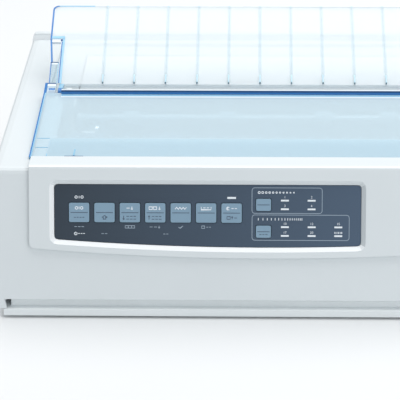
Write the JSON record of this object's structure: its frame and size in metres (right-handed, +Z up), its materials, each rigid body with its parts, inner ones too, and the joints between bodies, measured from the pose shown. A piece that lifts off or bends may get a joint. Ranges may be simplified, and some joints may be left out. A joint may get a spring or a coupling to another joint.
{
  "type": "dot-matrix printer",
  "caption": "Desktop dot-matrix form printer with a sloping key panel, clear tinted access cover, clear paper separator, platen, print carriage and tractor feed.",
  "frame": {"origin": "middle of the underside, midway between the left side and the platen knob, and midway between front and back", "axes": "+X to the right seen from the front, +Y to the back, +Z up"},
  "size_m": [0.4116, 0.3474, 0.1577],
  "materials": {
    "housing": "fine moulded texture",
    "key_panel": "printed film, satin",
    "keys": "satin",
    "tinted_cover": "clear, blue tinted",
    "white_plastic": "smooth",
    "black_plastic": "satin",
    "ribbon_case": "satin",
    "rubber": "matt",
    "ground_steel": "ground",
    "zinc_plate": "zinc plated",
    "head_alloy": "cast",
    "circuit_board": "solder mask"
  },
  "bodies": {
    "root": {"base_pan": "housing", "foot_front_left": "rubber", "foot_rear_left": "rubber", "foot_front_right": "rubber", "foot_rear_right": "rubber", "upper_housing": "housing", "front_panel": "housing", "control_panel": "key_panel", "panel_board": "circuit_board", "rear_guide": "white_plastic", "side_frame_left": "zinc_plate", "side_frame_right": "zinc_plate", "chassis_plate": "zinc_plate", "line_feed_motor": "black_plastic", "paper_pan": "ground_steel", "carriage_rod": "ground_steel", "front_rail": "zinc_plate", "drive_belt": "rubber", "carriage_motor": "black_plastic", "tractor_guide_rod": "ground_steel", "main_board": "circuit_board", "power_supply": "zinc_plate", "power_inlet": "black_plastic", "interface_socket": "zinc_plate"},
    "access_cover": {"access_cover": "tinted_cover"},
    "paper_separator": {"paper_separator": "tinted_cover"},
    "platen": {"platen_roller": "rubber", "platen_shaft": "ground_steel", "platen_knob": "white_plastic", "platen_gear": "white_plastic"},
    "idler_gear": {"idler_gear": "white_plastic"},
    "motor_pinion": {"motor_pinion": "ground_steel"},
    "tractor_drive_shaft": {"tractor_drive_shaft": "ground_steel"},
    "carriage": {"carriage": "black_plastic", "print_head": "head_alloy", "ribbon_cartridge": "ribbon_case"},
    "ribbon_knob": {"ribbon_knob": "black_plastic"},
    "drive_pulley": {"drive_pulley": "ground_steel"},
    "idler_pulley": {"idler_pulley": "ground_steel"},
    "paper_bail": {"paper_bail": "ground_steel"},
    "bail_roller_1": {"bail_roller_1": "white_plastic"},
    "bail_roller_2": {"bail_roller_2": "white_plastic"},
    "bail_roller_3": {"bail_roller_3": "white_plastic"},
    "bail_roller_4": {"bail_roller_4": "white_plastic"},
    "paper_lever": {"paper_lever": "white_plastic"},
    "head_gap_lever": {"head_gap_lever": "key_panel"},
    "tractor_left": {"tractor_left": "white_plastic"},
    "tractor_right": {"tractor_right": "white_plastic"},
    "tractor_door_left": {"tractor_door_left": "white_plastic"},
    "tractor_door_right": {"tractor_door_right": "white_plastic"},
    "power_switch": {"power_switch": "black_plastic"},
    "key_select": {"key_select": "keys"},
    "key_shift": {"key_shift": "keys"},
    "key_line_feed": {"key_line_feed": "keys"},
    "key_form_feed": {"key_form_feed": "keys"},
    "key_tear_off": {"key_tear_off": "keys"},
    "key_park": {"key_park": "keys"},
    "key_quiet": {"key_quiet": "keys"},
    "key_print_quality": {"key_print_quality": "keys"},
    "key_character_pitch": {"key_character_pitch": "keys"}
  },
  "joints": [
    {"name": "cover_hinge", "type": "hinge", "parent": "root", "child": "access_cover", "pos_m": [-0.00719, 0.00625, 0.1138], "axis": [-1, 0, 0], "range_deg": [0, 75]},
    {"name": "separator_hinge", "type": "hinge", "parent": "root", "child": "paper_separator", "pos_m": [-0.00719, 0.00625, 0.1138], "axis": [1, 0, 0], "range_deg": [-23, 50]},
    {"name": "platen_turn", "type": "hinge", "parent": "root", "child": "platen", "pos_m": [-0.00719, -0.00575, 0.082], "axis": [1, 0, 0], "continuous": true},
    {"name": "idler_turn", "type": "hinge", "parent": "root", "child": "idler_gear", "pos_m": [-0.16019, 0.01125, 0.0593], "axis": [1, 0, 0], "continuous": true},
    {"name": "pinion_turn", "type": "hinge", "parent": "root", "child": "motor_pinion", "pos_m": [-0.16019, 0.01615, 0.0437], "axis": [1, 0, 0], "continuous": true},
    {"name": "tractor_shaft_turn", "type": "hinge", "parent": "root", "child": "tractor_drive_shaft", "pos_m": [-0.00719, 0.05225, 0.066], "axis": [1, 0, 0], "continuous": true},
    {"name": "carriage_slide", "type": "slide", "parent": "root", "child": "carriage", "axis": [1, 0, 0], "range_m": [0, 0.208]},
    {"name": "ribbon_knob_turn", "type": "hinge", "parent": "carriage", "child": "ribbon_knob", "pos_m": [-0.14219, -0.06575, 0.097], "axis": [0, 0, 1], "continuous": true},
    {"name": "drive_pulley_turn", "type": "hinge", "parent": "root", "child": "drive_pulley", "pos_m": [0.12881, -0.06975, 0.04], "axis": [0, 0, 1], "range_deg": [-1440, 0]},
    {"name": "idler_pulley_turn", "type": "hinge", "parent": "root", "child": "idler_pulley", "pos_m": [-0.14319, -0.06975, 0.04], "axis": [0, 0, 1], "range_deg": [-1440, 0]},
    {"name": "bail_swing", "type": "hinge", "parent": "root", "child": "paper_bail", "pos_m": [-0.00719, -0.02575, 0.058], "axis": [1, 0, 0], "range_deg": [0, 12]},
    {"name": "bail_roller_1_turn", "type": "hinge", "parent": "paper_bail", "child": "bail_roller_1", "pos_m": [-0.10879, -0.01735, 0.1018], "axis": [1, 0, 0], "continuous": true},
    {"name": "bail_roller_2_turn", "type": "hinge", "parent": "paper_bail", "child": "bail_roller_2", "pos_m": [-0.03259, -0.01735, 0.1018], "axis": [1, 0, 0], "continuous": true},
    {"name": "bail_roller_3_turn", "type": "hinge", "parent": "paper_bail", "child": "bail_roller_3", "pos_m": [0.04361, -0.01735, 0.1018], "axis": [1, 0, 0], "continuous": true},
    {"name": "bail_roller_4_turn", "type": "hinge", "parent": "paper_bail", "child": "bail_roller_4", "pos_m": [0.09441, -0.01735, 0.1018], "axis": [1, 0, 0], "continuous": true},
    {"name": "paper_lever_swing", "type": "hinge", "parent": "root", "child": "paper_lever", "pos_m": [0.17831, 0.03525, 0.07], "axis": [1, 0, 0], "range_deg": [-12, 12]},
    {"name": "head_gap_swing", "type": "hinge", "parent": "root", "child": "head_gap_lever", "pos_m": [0.14631, -0.05375, 0.074], "axis": [1, 0, 0], "range_deg": [-10, 10]},
    {"name": "tractor_left_slide", "type": "slide", "parent": "root", "child": "tractor_left", "axis": [1, 0, 0], "range_m": [-0.018, 0.05]},
    {"name": "tractor_right_slide", "type": "slide", "parent": "root", "child": "tractor_right", "axis": [1, 0, 0], "range_m": [-0.05, 0.018]},
    {"name": "tractor_door_left_hinge", "type": "hinge", "parent": "tractor_left", "child": "tractor_door_left", "pos_m": [-0.12419, 0.07325, 0.0774], "axis": [0, -1, 0], "range_deg": [0, 100]},
    {"name": "tractor_door_right_hinge", "type": "hinge", "parent": "tractor_right", "child": "tractor_door_right", "pos_m": [0.10981, 0.07325, 0.0774], "axis": [0, 1, 0], "range_deg": [0, 100]},
    {"name": "switch_rock", "type": "hinge", "parent": "root", "child": "power_switch", "pos_m": [-0.12319, 0.16725, 0.034], "axis": [-1, 0, 0], "range_deg": [0, 13.75]},
    {"name": "select_press", "type": "slide", "parent": "root", "child": "key_select", "axis": [0, 0.9644, -0.2644], "range_m": [0, 0.0012], "stiffness_N_per_m": 300, "springref_m": -0.0015},
    {"name": "shift_press", "type": "slide", "parent": "root", "child": "key_shift", "axis": [0, 0.9644, -0.2644], "range_m": [0, 0.0012], "stiffness_N_per_m": 300, "springref_m": -0.0015},
    {"name": "line_feed_press", "type": "slide", "parent": "root", "child": "key_line_feed", "axis": [0, 0.9644, -0.2644], "range_m": [0, 0.0012], "stiffness_N_per_m": 300, "springref_m": -0.0015},
    {"name": "form_feed_press", "type": "slide", "parent": "root", "child": "key_form_feed", "axis": [0, 0.9644, -0.2644], "range_m": [0, 0.0012], "stiffness_N_per_m": 300, "springref_m": -0.0015},
    {"name": "tear_off_press", "type": "slide", "parent": "root", "child": "key_tear_off", "axis": [0, 0.9644, -0.2644], "range_m": [0, 0.0012], "stiffness_N_per_m": 300, "springref_m": -0.0015},
    {"name": "park_press", "type": "slide", "parent": "root", "child": "key_park", "axis": [0, 0.9644, -0.2644], "range_m": [0, 0.0012], "stiffness_N_per_m": 300, "springref_m": -0.0015},
    {"name": "quiet_press", "type": "slide", "parent": "root", "child": "key_quiet", "axis": [0, 0.9644, -0.2644], "range_m": [0, 0.0012], "stiffness_N_per_m": 300, "springref_m": -0.0015},
    {"name": "print_quality_press", "type": "slide", "parent": "root", "child": "key_print_quality", "axis": [0, 0.9644, -0.2644], "range_m": [0, 0.0012], "stiffness_N_per_m": 300, "springref_m": -0.0015},
    {"name": "character_pitch_press", "type": "slide", "parent": "root", "child": "key_character_pitch", "axis": [0, 0.9644, -0.2644], "range_m": [0, 0.0012], "stiffness_N_per_m": 300, "springref_m": -0.0015}
  ],
  "couplings": [
    {"joint": "idler_turn", "follows": "platen_turn", "ratio": -1.8},
    {"joint": "pinion_turn", "follows": "platen_turn", "ratio": 3},
    {"joint": "tractor_shaft_turn", "follows": "platen_turn", "ratio": -1.7},
    {"joint": "drive_pulley_turn", "follows": "carriage_slide", "rad_per_m": -120.48},
    {"joint": "idler_pulley_turn", "follows": "carriage_slide", "rad_per_m": -120.48}
  ]
}
